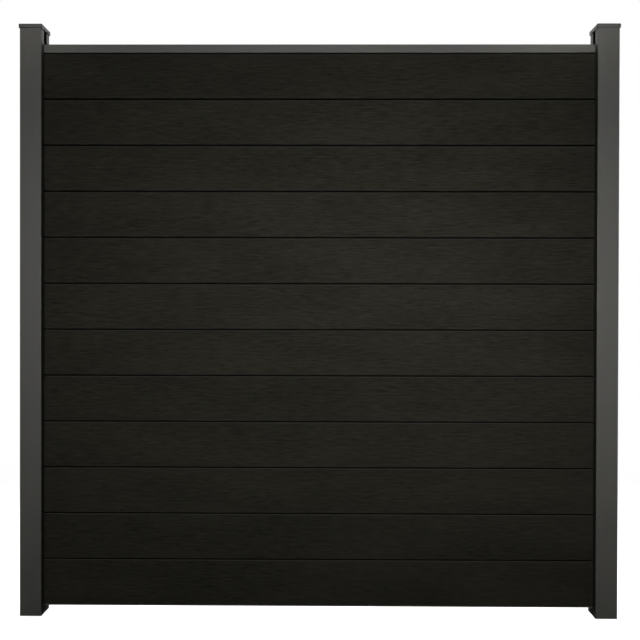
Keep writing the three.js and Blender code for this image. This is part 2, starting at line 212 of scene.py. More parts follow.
class Workpiece:
    """A mesh on the bench. In a with block it is in edit mode, where Blender's own operators shape it."""

    SHARP = math.radians(35)
    SMOOTH = math.radians(50)
    ONE_PLANE = math.radians(0.5)
    DRILL_SIDES = 32
    LOPSIDED = (-1.7131, -0.5177, -0.3719)

    def __init__(self, obj: Obj) -> None:
        """Takes the mesh object to work on."""
        self.obj = obj

    def __enter__(self) -> Workpiece:
        """Opens the mesh in edit mode with nothing selected.

        Returns:
            The workpiece.
        """
        self.activate()
        bpy.ops.object.mode_set(mode="EDIT")
        bpy.ops.mesh.select_mode(type="VERT")
        bpy.ops.mesh.select_all(action="DESELECT")
        return self

    def __exit__(self, *_: object) -> None:
        """Closes edit mode."""
        bpy.ops.object.mode_set(mode="OBJECT")

    def activate(self) -> None:
        """Makes the object the only selected one, and the active one."""
        bpy.ops.object.select_all(action="DESELECT")
        self.obj.select_set(True)
        bpy.context.view_layer.objects.active = self.obj

    @classmethod
    def primitive(
        cls, name: str, add: Callable[..., set[str]], scale: Sequence[float] = (1, 1, 1), **settings: object
    ) -> Workpiece:
        """Starts from one of Blender's primitives, with its scale and place put into its mesh.

        Args:
            name: The object's name.
            add: The operator that adds the primitive.
            scale: The three factors that bring the primitive to size.
            **settings: The operator's settings.

        Returns:
            The workpiece.
        """
        bpy.ops.object.select_all(action="DESELECT")
        add(**settings)
        piece = cls(bpy.context.object)
        piece.obj.name = piece.obj.data.name = name
        piece.obj.scale = scale
        piece.activate()
        bpy.ops.object.transform_apply(location=True, rotation=True, scale=True)
        return piece

    @classmethod
    def sheet(cls, name: str, area: Rect, run: Run) -> Workpiece:
        """Starts from a flat rectangle across a run, at the run's start.

        Args:
            name: The object's name.
            area: The rectangle, in the section's coordinates.
            run: The direction that the sheet faces.

        Returns:
            The workpiece.
        """
        width, height = area.right - area.left, area.high - area.low
        along = run is Run.ALONG
        return cls.primitive(
            name, bpy.ops.mesh.primitive_plane_add, (height, width, 1) if along else (width, height, 1),
            size=1, location=run.place(*area.middle, 0), rotation=(0, math.pi / 2 if along else 0, 0),
        )

    @classmethod
    def drill(cls, place: Sequence[float], radius: float, depth: float) -> Workpiece:
        """A round drill that points along Y.

        Args:
            place: The drill's middle.
            radius: Its radius.
            depth: Its length.

        Returns:
            The drill.
        """
        return cls.primitive(
            "drill", bpy.ops.mesh.primitive_cylinder_add, vertices=cls.DRILL_SIDES, radius=radius,
            depth=depth, location=place, rotation=(math.pi / 2, 0, 0),
        )

    @classmethod
    def extruded(cls, name: str, section: Section, run: Run, start: Vector, length: float) -> Workpiece:
        """Rules a sheet, takes the open cells out, extrudes the rest and rounds its long edges.

        Args:
            name: The object's name.
            section: The section, about its own origin.
            run: The direction of the extrusion.
            start: Where the section's origin is at the start of the run.
            length: The length of the run.

        Returns:
            The workpiece, with its cut ends square.
        """
        piece = cls.sheet(name, section.outer, run)
        with piece:
            for across in (True, False):
                normal = run.place(1, 0, 0) if across else run.place(0, 1, 0)
                for value in section.rules(across):
                    piece.rule(normal * value, normal)
            piece.select_faces(lambda centre, _: section.is_open(*run.flat(centre)))
            bpy.ops.mesh.delete(type="FACE")
            piece.select_all()
            piece.extrude(run.place(0, 0, length))
            piece.join_flats()
            for rounding in section.roundings:
                piece.select_long_edges(run, rounding.corners, length)
                piece.bevel(rounding.size, rounding.segments)
            piece.number_again()
            piece.move(start)
        return piece

    def select_all(self) -> None:
        """Selects the whole mesh."""
        bpy.ops.mesh.select_all(action="SELECT")

    def extrude(self, by: Sequence[float]) -> None:
        """Extrudes what is selected."""
        bpy.ops.mesh.extrude_region_move(TRANSFORM_OT_translate={"value": by})

    def move(self, by: Sequence[float]) -> None:
        """Moves the whole mesh."""
        self.select_all()
        bpy.ops.transform.translate(value=by)

    def rule(self, point: Vector, normal: Vector) -> None:
        """Bisects the whole mesh by a plane and keeps both parts."""
        self.select_all()
        bpy.ops.mesh.bisect(plane_co=point, plane_no=normal, threshold=DOUBLE)

    def spin(self, steps: int, angle: float, centre: Vector, axis: Place) -> None:
        """Spins the whole mesh about an axis, merges its seam and turns its faces outwards.

        Args:
            steps: How many steps the turn has.
            angle: The whole turn.
            centre: A point of the axis.
            axis: The axis.
        """
        self.select_all()
        bpy.ops.mesh.spin(steps=steps, angle=angle, center=centre, axis=axis)
        self.merge_doubles()
        self.number_again()
        bpy.ops.mesh.normals_make_consistent(inside=False)

    def number_again(self) -> None:
        """Numbers the mesh by the distance from a lopsided point, so that every run gives the same one."""
        self.select_all()
        bpy.context.scene.cursor.location = self.LOPSIDED
        bpy.ops.mesh.sort_elements(type="CURSOR_DISTANCE", elements={"VERT", "EDGE", "FACE"})
        bpy.context.scene.cursor.location = (0, 0, 0)

    def merge_doubles(self) -> None:
        """Merges the points that coincide."""
        self.select_all()
        bpy.ops.mesh.remove_doubles(threshold=DOUBLE)

    def join_flats(self) -> None:
        """Merges doubles, joins faces that lie in one plane and turns all faces outwards."""
        self.merge_doubles()
        self.number_again()
        bpy.ops.mesh.dissolve_limited(angle_limit=self.ONE_PLANE)
        self.select_all()
        bpy.ops.mesh.normals_make_consistent(inside=False)

    def _select(self, kind: str, chosen: Callable[[bmesh.types.BMesh], Iterable]) -> None:
        """Selects only some parts of the mesh.

        Args:
            kind: FACE or EDGE.
            chosen: Picks the parts from the mesh.
        """
        bpy.ops.mesh.select_mode(type=kind)
        bpy.ops.mesh.select_all(action="DESELECT")
        mesh = bmesh.from_edit_mesh(self.obj.data)
        for part in list(chosen(mesh)):
            part.select_set(True)
        bmesh.update_edit_mesh(self.obj.data)

    def select_faces(self, wanted: Test) -> None:
        """Selects only the faces whose centre and normal pass a test."""
        self._select("FACE", lambda mesh: (f for f in mesh.faces if wanted(f.calc_center_median(), f.normal)))

    def select_edges(self, wanted: Test) -> None:
        """Selects only the edges whose two ends pass a test."""
        self._select("EDGE", lambda mesh: (e for e in mesh.edges if wanted(e.verts[0].co, e.verts[1].co)))

    def select_long_edges(self, run: Run, corners: Iterable[Point], length: float) -> None:
        """Selects the edges that run the whole length at some corners of the section.

        Args:
            run: The direction of the extrusion.
            corners: The corners, in the section's coordinates.
            length: The length of the run.
        """
        places = [run.place(u, v, 0) for u, v in corners]
        along = run.place(0, 0, 1)

        def at_a_corner(a: Vector, b: Vector) -> bool:
            """True if the edge is long enough and stands at one of the corners."""
            foot = a - along * a.dot(along)
            return abs((b - a).dot(along)) > length / 2 and any((foot - p).length < 2 * SAME for p in places)

        self.select_edges(at_a_corner)

    def bevel(self, size: float, segments: int) -> None:
        """Bevels the selected edges.

        Args:
            size: The distance from the edge, along each face.
            segments: How many faces the bevel has.
        """
        bpy.ops.mesh.bevel(
            offset=size, offset_type="OFFSET", segments=segments, affect="EDGES", clamp_overlap=False,
        )

    def combine(self, tool: Workpiece, operation: str) -> None:
        """Joins a tool on, or cuts it out, and throws it away.

        Args:
            tool: The tool.
            operation: UNION or DIFFERENCE.
        """
        modifier = self.obj.modifiers.new(operation.title(), "BOOLEAN")
        modifier.operation, modifier.solver, modifier.object = operation, "EXACT", tool.obj
        self.apply(modifier)
        bpy.data.objects.remove(tool.obj)

    def apply(self, modifier: bpy.types.Modifier) -> None:
        """Applies a modifier."""
        self.activate()
        bpy.ops.object.modifier_apply(modifier=modifier.name)

    def break_long_edges(self, run: Run, width: float) -> None:
        """Breaks the sharp edges that lie along a run, and leaves the sawn ends square.

        Args:
            run: The direction of the extrusion.
            width: The width of the broken edge.
        """
        along = run.place(0, 0, 1)
        with self:
            bpy.ops.mesh.select_mode(type="EDGE")
            bpy.ops.mesh.edges_select_sharp(sharpness=self.SHARP)
            mesh = bmesh.from_edit_mesh(self.obj.data)
            for edge in (e for e in mesh.edges if e.select):
                way = edge.verts[1].co - edge.verts[0].co
                edge.select_set(abs(way.dot(along)) > 0.99 * way.length)
            bmesh.update_edit_mesh(self.obj.data)
            self.bevel(width, 2)
        self.shade()

    def break_all_edges(self, width: float) -> None:
        """Breaks every sharp edge.

        Args:
            width: The width of the broken edge.
        """
        edges = self.obj.modifiers.new("BrokenEdges", "BEVEL")
        edges.width, edges.segments = width, 2
        edges.limit_method, edges.angle_limit = "ANGLE", self.SHARP
        edges.use_clamp_overlap = False
        self.apply(edges)
        self.shade()

    def shade(self) -> None:
        """Shades the mesh smooth, with its flats kept flat."""
        self.activate()
        bpy.ops.object.shade_smooth_by_angle(angle=self.SMOOTH, keep_sharp_edges=False)
        flats = self.obj.modifiers.new("FlatFaces", "WEIGHTED_NORMAL")
        flats.mode, flats.weight, flats.keep_sharp = "FACE_AREA", 100, True
        self.apply(flats)

    def moved_copy(self, name: str, by: Vector) -> Workpiece:
        """A copy with its own mesh, moved in its mesh.

        Args:
            name: The copy's name.
            by: How far it is moved.

        Returns:
            The copy.
        """
        self.activate()
        bpy.ops.object.duplicate(linked=False)
        copy = Workpiece(bpy.context.object)
        copy.obj.name = copy.obj.data.name = name
        with copy:
            copy.move(by)
        return copy

    def paint(self, material: Material) -> None:
        """Gives the whole piece one material."""
        self.obj.data.materials.clear()
        self.obj.data.materials.append(material)

    def paint_faces(self, material: Material, wanted: Test) -> None:
        """Gives some faces a material of their own.

        Args:
            material: The material.
            wanted: The test, given a face's centre and normal.
        """
        self.obj.data.materials.append(material)
        with self:
            self.select_faces(wanted)
            self.obj.active_material_index = len(self.obj.data.materials) - 1
            bpy.ops.object.material_slot_assign()

    def paint_ends(self, material: Material, run: Run) -> None:
        """Gives the sawn ends a material of their own."""
        self.paint_faces(material, lambda _, normal: abs(normal.dot(run.place(0, 0, 1))) > SQUARE_ON)

    def hand_over(self, node: str, body: Body, slot: Slot) -> Obj:
        """Lets the finished piece stand for a CAD node.

        Args:
            node: The CAD node.
            body: The body that the piece rides on.
            slot: The record's slot that its finish comes from; not used.

        Returns:
            The object.
        """
        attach(self.obj, body.value)
        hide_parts(node)
        LOG.info("%s stands for %s: %d faces", self.obj.name, node, len(self.obj.data.polygons))
        return self.obj


# ---------------------------------------------------------------- finishes


class NodeSheet:
    """The node tree of one material."""

    NOISE_LOW = 0.3
    NOISE_HIGH = 0.7

    def __init__(self, name: str) -> None:
        """Starts an empty tree.

        Args:
            name: The material's name.
        """
        self.material = bpy.data.materials.new(name)
        self.material.use_nodes = True
        self.tree = self.material.node_tree
        self.tree.nodes.clear()
        self.output = self.tree.nodes.new("ShaderNodeOutputMaterial")
        self.place = self.tree.nodes.new("ShaderNodeTexCoord").outputs["Object"]
        self.true_normal = self.tree.nodes.new("ShaderNodeNewGeometry").outputs["Normal"]

    def node(self, kind: str, inputs: dict[str | int, object], **settings: object) -> Node:
        """Adds a node.

        Args:
            kind: The node's type, without ShaderNode.
            inputs: Its inputs, each a socket to link or a value to set.
            **settings: Its properties.

        Returns:
            The node.
        """
        made = self.tree.nodes.new("ShaderNode" + kind)
        for name, value in settings.items():
            setattr(made, name, value)
        for name, value in inputs.items():
            self.feed(made.inputs[name], value)
        return made

    def feed(self, end: Socket, value: object) -> None:
        """Links a socket to an input, or sets the input to a value."""
        if isinstance(value, Socket):
            self.tree.links.new(value, end)
        else:
            end.default_value = value

    def sum(self, operation: str, a: object, b: object, clamp: bool = False) -> Socket:
        """One sum of two numbers."""
        return self.node("Math", {0: a, 1: b}, operation=operation, use_clamp=clamp).outputs[0]

    def vector_sum(self, operation: str, a: object, b: object) -> Socket:
        """One sum of two vectors."""
        return self.node("VectorMath", {0: a, 1: b}, operation=operation).outputs[0]

    def vector(self, x: object = 0.0, y: object = 0.0, z: object = 0.0) -> Socket:
        """A vector of three numbers."""
        return self.node("CombineXYZ", {0: x, 1: y, 2: z}).outputs[0]

    def part(self, vector: Socket, axis: str) -> Socket:
        """One of a vector's three numbers, X, Y or Z."""
        return self.node("SeparateXYZ", {0: vector}).outputs[axis]

    def scaled(self, vector: Socket, scale: Sequence[float]) -> Socket:
        """A vector scaled along each axis."""
        return self.vector_sum("MULTIPLY", vector, scale)

    def noise(
        self, vector: Socket, scale: float | Sequence[float], detail: float = 2.0,
        roughness: float = 0.5, distortion: float = 0.0,
    ) -> Socket:
        """A noise from 0 to 1 that mostly stays near 0.5.

        Args:
            vector: Where it is read.
            scale: How many of its spots fit in a metre, one number or one for each axis.
            detail: How many finer octaves it has.
            roughness: How strong these are.
            distortion: How far it is warped by itself.

        Returns:
            The noise.
        """
        if not isinstance(scale, float):
            vector, scale = self.scaled(vector, scale), 1.0
        inputs = {
            "Vector": vector, "Scale": scale, "Detail": detail,
            "Roughness": roughness, "Distortion": distortion,
        }
        return self.node("TexNoise", inputs).outputs["Fac"]

    def graded(self, value: Socket, low: float, high: float, to: Point = (0.0, 1.0)) -> Socket:
        """The value eased from one range into another, and held at its ends."""
        inputs = {0: value, 1: low, 2: high, 3: to[0], 4: to[1]}
        return self.node("MapRange", inputs, interpolation_type="SMOOTHSTEP").outputs[0]

    def spread(self, noise: Socket, low: float, high: float) -> Socket:
        """A noise eased into a range, so that its usual values fill it."""
        return self.graded(noise, self.NOISE_LOW, self.NOISE_HIGH, (low, high))

    def layered(self, base: object, *layers: tuple[Socket, float]) -> Socket:
        """A number varied by noises.

        Args:
            base: The number.
            *layers: Each noise, and how far it shifts the number up and down.

        Returns:
            The varied number.
        """
        for noise, shift in layers:
            base = self.sum("ADD", base, self.spread(noise, -shift, shift))
        return base

    def weighted(self, *layers: tuple[Socket, float]) -> Socket:
        """A sum of several values.

        Args:
            *layers: Each value and its weight.

        Returns:
            The sum.
        """
        total, *parts = (self.sum("MULTIPLY", value, weight) for value, weight in layers)
        for part in parts:
            total = self.sum("ADD", total, part)
        return total

    def tinted(self, colour: Colour, factor: Socket) -> Socket:
        """The colour times a factor."""
        return self.vector_sum("MULTIPLY", self.vector(factor, factor, factor), colour)

    def blended(self, factor: Socket, a: Socket, b: Colour) -> Socket:
        """A mix of two colours.

        Args:
            factor: How much of the second there is.
            a: The first colour.
            b: The second colour.

        Returns:
            The mix.
        """
        made = self.node("Mix", {"Factor": factor}, data_type="RGBA")
        for name, value in (("A", a), ("B", (*b, 1.0))):
            self.feed(next(i for i in made.inputs if i.name == name and i.type == "RGBA"), value)
        return next(o for o in made.outputs if o.type == "RGBA")

    def bump(self, height: Socket, distance: float, under: Socket | None = None) -> Socket:
        """A normal from a height.

        Args:
            height: The height, from 0 to 1.
            distance: The height's real size in metres.
            under: The normal that it is laid on.

        Returns:
            The normal.
        """
        inputs: dict[str | int, object] = {"Height": height, "Distance": distance, "Strength": 1.0}
        if under is not None:
            inputs["Normal"] = under
        return self.node("Bump", inputs).outputs["Normal"]

    def edge_mask(self, reach: float) -> Socket:
        """1 along the edges of a piece and 0 on its flats.

        Args:
            reach: How far from an edge the mask reaches.

        Returns:
            The mask.
        """
        rounded = self.node("Bevel", {"Radius": reach}, samples=4).outputs["Normal"]
        match = self.node("VectorMath", {0: rounded, 1: self.true_normal}, operation="DOT_PRODUCT")
        return self.graded(match.outputs["Value"], 0.995, 0.9)

    def shade(self, colour: Socket, roughness: Socket, normal: Socket, **more: object) -> Material:
        """Ends the tree in one surface shader.

        Args:
            colour: The base colour.
            roughness: The roughness.
            normal: The normal.
            **more: Other inputs, with _ for a space.

        Returns:
            The finished material.
        """
        inputs = {"Base Color": colour, "Roughness": roughness, "Normal": normal}
        inputs.update({name.replace("_", " "): value for name, value in more.items()})
        surface = self.node("BsdfPrincipled", inputs)
        self.feed(self.output.inputs["Surface"], surface.outputs[0])
        return self.material


@dataclass(frozen=True)
class PowderCoat:
    """Fine-textured powder coat on aluminium, lighter along its edges: partly scuffs, partly a painted
    highlight where rounded edges would catch the light.
    """

    name: str = "PowderCoat"
    colour: Colour = (0.0505, 0.0492, 0.0428)
    # the lighter edge colour, for scuffs and for the painted highlight on rounded edges
    lightened: Colour = (0.115, 0.113, 0.102)
    roughness: float = 0.50
    gloss: float = 0.4
    grain_scale: float = 1100.0
    grain_height: float = 0.10 * MM
    peel_scale: float = 170.0
    peel_height: float = 0.06 * MM
    edge_reach: float = 2.0 * MM

    def material(self) -> Material:
        """Makes the finish.

        Returns:
            The material.
        """
        sheet = NodeSheet(self.name)
        cloud = sheet.noise(sheet.place, 9.0, 3.0)
        run = sheet.noise(sheet.place, (60.0, 60.0, 2.5))
        grain = sheet.noise(sheet.place, self.grain_scale)
        peel = sheet.noise(sheet.place, self.peel_scale, 1.0)
        coat = sheet.tinted(self.colour, sheet.layered(1.0, (cloud, 0.05), (grain, 0.07), (run, 0.02)))
        # painted highlight and scuffs: the coat is lightened along rounded edges, broken up by the peel noise
        chips_and_highlight = sheet.sum("MULTIPLY", sheet.edge_mask(self.edge_reach), sheet.graded(peel, 0.35, 0.65, (0.1, 0.5)))
        return sheet.shade(
            sheet.blended(chips_and_highlight, coat, self.lightened),
            sheet.layered(self.roughness, (cloud, 0.03), (grain, 0.05)),
            sheet.bump(grain, self.grain_height, sheet.bump(peel, self.peel_height)),
            IOR=1.5,
            Specular_IOR_Level=self.gloss,
        )


@dataclass(frozen=True)
class BrushedComposite:
    """Wood composite with an embossed grain, brushed along the board; each board has its own cut of it."""

    name: str = "BrushedComposite"
    colour: Colour = (0.0119, 0.0113, 0.0083)
    # the colour of scuffed edges, and of the painted highlight on the joint shoulders
    lightened: Colour = (0.034, 0.033, 0.028)
    roughness: float = 0.68
    gloss: float = 0.125
    gloss_tint: Colour = (1.0, 0.97, 0.82)
    stack_bottom: float = 30.3 * MM
    pitch: float = 150.0 * MM
    cut_spacing: float = 37.0
    streak_length: float = 48.0 * MM
    streak_height: float = 5.0 * MM
    sway: float = 11.0 * MM
    emboss: float = 0.5 * MM
    fibre_height: float = 0.06 * MM
    edge_wear: float = 1.0 * MM
    # painted highlight: how far the upward sloping shoulder chamfer is lightened
    shoulder_highlight: float = 0.75

    def material(self) -> Material:
        """Makes the finish.

        Returns:
            The material.
        """
        sheet = NodeSheet(self.name)
        number = self.board_number(sheet)
        cut = sheet.vector(sheet.sum("MULTIPLY", number, self.cut_spacing))
        place = sheet.vector_sum("ADD", sheet.place, cut)
        bend = sheet.sum("SUBTRACT", sheet.noise(place, (4.2, 4.2, 12.0), 1.0), 0.5)
        rise = sheet.sum("MULTIPLY", bend, 2 * self.sway)
        grain = sheet.vector_sum("ADD", place, sheet.vector(z=rise))
        along, high = 1 / self.streak_length, 1 / self.streak_height
        streaks = sheet.noise(grain, (along, high, high), 5.0, 0.62, 0.25)
        hairs = sheet.noise(grain, (14.0, 1000.0, 1000.0), 3.0, 0.6)
        pores = sheet.graded(sheet.noise(grain, (34.0, 420.0, 420.0), 1.0), 0.58, 0.70)
        figure = self.figure(sheet, grain)
        fibres = sheet.noise(sheet.place, 420.0, 2.0, 0.7)
        cloud = sheet.noise(place, (2.2, 9.0, 9.0), 3.0)
        tone = sheet.layered(
            sheet.graded(number, 0.0, 1.0, (0.97, 1.07)),
            (streaks, 0.29), (hairs, 0.28), (cloud, 0.17), (fibres, 0.06),
        )
        tone = sheet.sum("ADD", tone, sheet.graded(figure, 0.0, 1.0, (-0.05, 0.05)))
        tone = sheet.sum("SUBTRACT", tone, sheet.sum("MULTIPLY", pores, 0.45))
        height = sheet.weighted((streaks, 0.5), (hairs, 0.35), (figure, 0.10), (pores, -0.25))
        return sheet.shade(
            sheet.blended(self.wear_and_highlight(sheet, streaks), sheet.tinted(self.colour, tone), self.lightened),
            sheet.layered(self.roughness, (streaks, -0.07)),
            sheet.bump(fibres, self.fibre_height, sheet.bump(height, self.emboss)),
            IOR=1.45,
            Specular_IOR_Level=self.gloss,
            Specular_Tint=(*self.gloss_tint, 1.0),
        )

    def board_number(self, sheet: NodeSheet) -> Socket:
        """A random number for each board of the stack.

        Args:
            sheet: The material's node tree.

        Returns:
            The number, from 0 to 1.
        """
        rise = sheet.sum("SUBTRACT", sheet.part(sheet.place, "Z"), self.stack_bottom)
        board = sheet.sum("FLOOR", sheet.sum("DIVIDE", rise, self.pitch), 0.0)
        return sheet.node("TexWhiteNoise", {"W": board}, noise_dimensions="1D").outputs["Value"]

    def figure(self, sheet: NodeSheet, grain: Socket) -> Socket:
        """The broad figure of sawn wood, as wavy bands along the board.

        Args:
            sheet: The material's node tree.
            grain: The board's swaying coordinates.

        Returns:
            The bands, from 0 to 1.
        """
        inputs = {
            "Vector": sheet.scaled(grain, (0.16, 1.0, 1.0)), "Scale": 24.0, "Distortion": 16.0,
            "Detail": 2.0, "Detail Scale": 0.4,
        }
        return sheet.node("TexWave", inputs, wave_type="BANDS", bands_direction="Z").outputs["Fac"]

    def wear_and_highlight(self, sheet: NodeSheet, streaks: Socket) -> Socket:
        """How much an edge is scuffed, plus a painted highlight on the upward sloping shoulder under a joint.

        Args:
            sheet: The material's node tree.
            streaks: The streaks of the grain, which break the rubbing up.

        Returns:
            The scuffing and the painted highlight, from 0 to 1.
        """
        edges = sheet.sum("MULTIPLY", sheet.edge_mask(self.edge_wear), sheet.spread(streaks, 0.1, 0.4))
        # painted highlight: faces sloping upwards are lightened as if lit from above
        shoulder = sheet.graded(sheet.part(sheet.true_normal, "Z"), 0.45, 0.65, (0.0, self.shoulder_highlight))
        return sheet.sum("ADD", shoulder, edges, clamp=True)


@dataclass(frozen=True)
class PaintedJointShade:
    """Painted shade for the boards' joints: the faces inside a shadow gap and the lower chamfer, near-black,
    with drawn lines.
    """

    name: str = "PaintedJointShade"
    colour: Colour = (0.0011, 0.0010, 0.0009)
    roughness: float = 0.6
    gloss: float = 0.03
    line_height: float = 0.03 * MM

    def material(self) -> Material:
        """Makes the finish.

        Returns:
            The material.
        """
        sheet = NodeSheet(self.name)
        lines = sheet.noise(sheet.place, (3.0, 1500.0, 1500.0))
        cloud = sheet.noise(sheet.place, 30.0)
        return sheet.shade(
            sheet.tinted(self.colour, sheet.layered(1.0, (lines, 0.15), (cloud, 0.1))),
            sheet.layered(self.roughness, (cloud, 0.06)),
            sheet.bump(lines, self.line_height),
            Specular_IOR_Level=self.gloss,
        )


@dataclass(frozen=True)
class MouldedPlastic:
    """Moulded plastic with a fine eroded grain from its tool."""

    name: str
    colour: Colour
    roughness: float
    grain_scale: float = 700.0
    grain_height: float = 0.05 * MM
    edge_reach: float = 0.9 * MM

    def material(self) -> Material:
        """Makes the finish.

        Returns:
            The material.
        """
        sheet = NodeSheet(self.name)
        grain = sheet.noise(sheet.place, self.grain_scale, 3.0, 0.6)
        cloud = sheet.noise(sheet.place, 22.0)
        lightened = sheet.sum("ADD", sheet.sum("MULTIPLY", sheet.edge_mask(self.edge_reach), 0.5), 1.0)
        tone = sheet.sum("MULTIPLY", sheet.layered(1.0, (grain, 0.07), (cloud, 0.04)), lightened)
        return sheet.shade(
            sheet.tinted(self.colour, tone),
            sheet.layered(self.roughness, (cloud, 0.04)),
            sheet.bump(grain, self.grain_height),
            IOR=1.49,
        )


@dataclass(frozen=True)
class SawnAluminium:
    """Bare aluminium: saw marks across a cut end, and the mill finish inside a chamber."""

    name: str = "SawnAluminium"
    colour: Colour = (0.52, 0.52, 0.53)
    metal: float = 0.6
    roughness: float = 0.44
    mark_height: float = 0.03 * MM

    def material(self) -> Material:
        """Makes the finish.

        Returns:
            The material.
        """
        sheet = NodeSheet(self.name)
        marks = sheet.noise(sheet.place, (40.0, 1900.0, 1900.0))
        cloud = sheet.noise(sheet.place, 60.0, 3.0)
        return sheet.shade(
            sheet.tinted(self.colour, sheet.layered(0.94, (marks, 0.115), (cloud, 0.075))),
            sheet.layered(self.roughness, (marks, 0.10)),
            sheet.bump(marks, self.mark_height),
            Metallic=self.metal,
        )


@dataclass(frozen=True)
class TurnedSteel:
    """Stainless steel, turned about an axis along Y."""

    name: str = "TurnedSteel"
    colour: Colour = (0.50, 0.49, 0.47)
    roughness: float = 0.31
    mark_height: float = 0.02 * MM

    def material(self) -> Material:
        """Makes the finish.

        Returns:
            The material.
        """
        sheet = NodeSheet(self.name)
        marks = sheet.noise(sheet.place, (500.0, 5200.0, 500.0))
        cloud = sheet.noise(sheet.place, 240.0)
        return sheet.shade(
            sheet.tinted(self.colour, sheet.layered(0.965, (cloud, 0.115))),
            sheet.layered(self.roughness, (marks, 0.09)),
            sheet.bump(marks, self.mark_height),
            Metallic=1.0,
        )


@dataclass(frozen=True)
class StudioPaper:
    """Matt white paper for the floor, lit through from below, which fades out before its edge shows."""

    name: str = "StudioPaper"
    colour: Colour = (0.90, 0.90, 0.90)
    roughness: float = 0.9
    gloss: float = 0.2
    tooth_height: float = 0.05 * MM
    glow: float = 0.82
    fade_from: float = 1.7
    fade_to: float = 3.2

    def material(self) -> Material:
        """Makes the finish.

        Returns:
            The material.
        """
        sheet = NodeSheet(self.name)
        tooth = sheet.noise(sheet.place, 320.0)
        paper = sheet.node("BsdfPrincipled", {
            "Base Color": sheet.tinted(self.colour, sheet.layered(1.0, (tooth, 0.015))),
            "Roughness": self.roughness,
            "Specular IOR Level": self.gloss,
            "Emission Color": (1.0, 1.0, 1.0, 1.0),
            "Emission Strength": self.glow,
            "Normal": sheet.bump(tooth, self.tooth_height),
        })
        far = sheet.node("VectorMath", {0: sheet.place}, operation="LENGTH").outputs["Value"]
        faded = sheet.graded(far, self.fade_from, self.fade_to)
        clear = sheet.node("BsdfTransparent", {})
        mixed = sheet.node("MixShader", {0: faded, 1: paper.outputs[0], 2: clear.outputs[0]})
        sheet.feed(sheet.output.inputs["Surface"], mixed.outputs[0])
        return sheet.material


@dataclass(frozen=True)
class Finishes:
    """Every finish on the screen, each made once."""

    coat: Material
    # painted shade for the insides of the posts' slots
    primer: Material
    board: Material
    # painted shade for the boards' joints
    board_skin: Material
    board_core: Material
    cap: Material
    spacer: Material
    sawn: Material
    steel: Material

    @classmethod
    def mixed(cls) -> Finishes:
        """Makes every finish."""
        return cls(
            coat=PowderCoat().material(),
            # painted shade: a near-black coat for the insides of the slots
            primer=PowderCoat("PaintedSlotShade", (0.010, 0.010, 0.009), (0.03, 0.03, 0.03), 0.6, 0.1).material(),
            board=BrushedComposite().material(),
            # painted shade: near-black faces inside the boards' shadow gaps
            board_skin=PaintedJointShade().material(),
            board_core=MouldedPlastic("CompositeCore", (0.030, 0.027, 0.021), 0.85, 380.0).material(),
            cap=MouldedPlastic("CapPlastic", (0.038, 0.037, 0.034), 0.45).material(),
            spacer=MouldedPlastic("SpacerPlastic", (0.012, 0.012, 0.012), 0.6).material(),
            sawn=SawnAluminium().material(),
            steel=TurnedSteel().material(),
        )


# ---------------------------------------------------------------- posts


